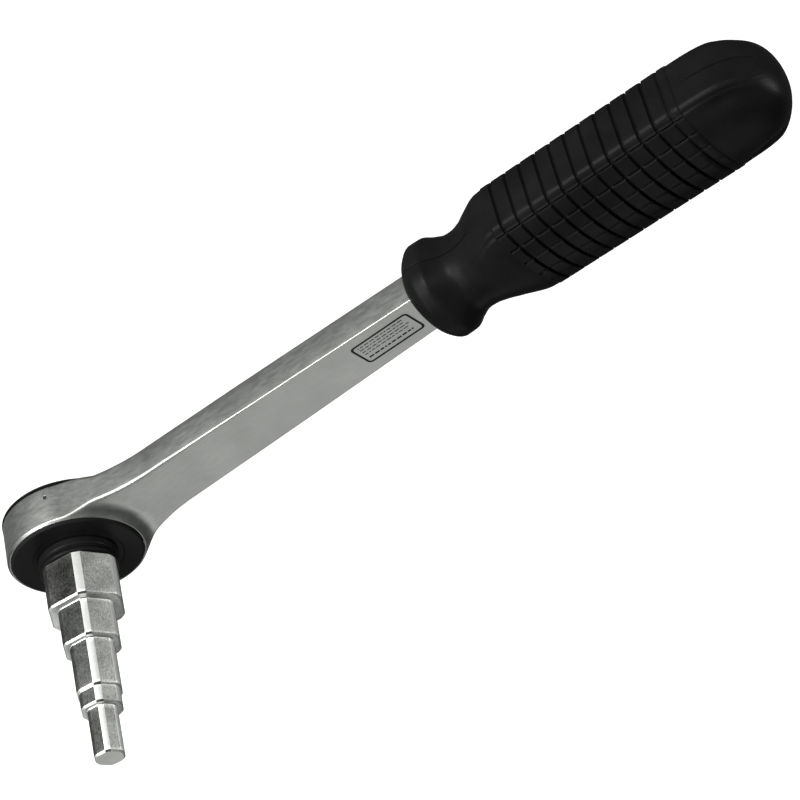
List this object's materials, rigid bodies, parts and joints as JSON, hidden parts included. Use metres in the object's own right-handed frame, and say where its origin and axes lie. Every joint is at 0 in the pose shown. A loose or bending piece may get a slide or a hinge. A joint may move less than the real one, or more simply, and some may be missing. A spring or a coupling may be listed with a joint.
{
  "type": "tap wrench",
  "caption": "Ratcheting stepped hex key wrench for radiator tails and valve taps: round reversible head with a stepped hexagon key, flat steel shank and moulded grip.",
  "frame": {"origin": "on the drive axis at the outer face of the selector dial, where the head stands on a flat surface", "axes": "+X from the drive axis along the shank and grip, +Z along the drive axis from the head towards the key's tip, +Y completes the right-hand frame"},
  "size_m": [0.2641, 0.0402, 0.0865],
  "materials": {
    "body_steel": "satin chrome plate",
    "key_steel": "machined and hardened, dark satin",
    "black_metal": "satin black",
    "black_plastic": "matt moulded black",
    "grip_plastic": "soft satin moulded black",
    "spring_steel": "bright",
    "bronze": "sintered bronze",
    "seal_rubber": "matt"
  },
  "bodies": {
    "frame": {"wrench_body": "body_steel", "handle_grip": "grip_plastic", "cover_disc": "black_plastic", "cover_snap_ring": "spring_steel", "hub_seal": "seal_rubber", "gear_bush": "bronze", "pawl_pin": "spring_steel", "dial_snap_ring": "spring_steel"},
    "drive": {"ratchet_gear": "key_steel", "step_key": "key_steel", "key_collar": "black_metal", "key_circlip": "black_metal", "key_screw": "spring_steel", "screw_washer": "spring_steel", "thrust_washer": "bronze", "wave_washer": "spring_steel"},
    "selector": {"selector_dial": "black_plastic", "pawl_spring": "spring_steel"},
    "plunger": {"pawl_plunger": "spring_steel"},
    "pawl": {"pawl": "key_steel"}
  },
  "joints": [
    {"name": "drive_spin", "type": "hinge", "parent": "frame", "child": "drive", "pos_m": [0, 0, 0.007], "axis": [0, 0, 1], "continuous": true},
    {"name": "dial_turn", "type": "hinge", "parent": "frame", "child": "selector", "pos_m": [0, 0, 0.0015], "axis": [0, 0, 1], "range_deg": [0, 24]},
    {"name": "pawl_rock", "type": "hinge", "parent": "frame", "child": "pawl", "pos_m": [0.0119, 0, 0.0072], "axis": [0, 0, 1], "range_deg": [0, 14]},
    {"name": "plunger_slide", "type": "slide", "parent": "selector", "child": "plunger", "axis": [0.9781, -0.2079, 0], "range_m": [0, 0.0006], "stiffness_N_per_m": 300, "deforming": ["pawl_spring"]}
  ],
  "couplings": [
    {"joint": "pawl_rock", "follows": "dial_turn", "ratio": 0.58333}
  ]
}
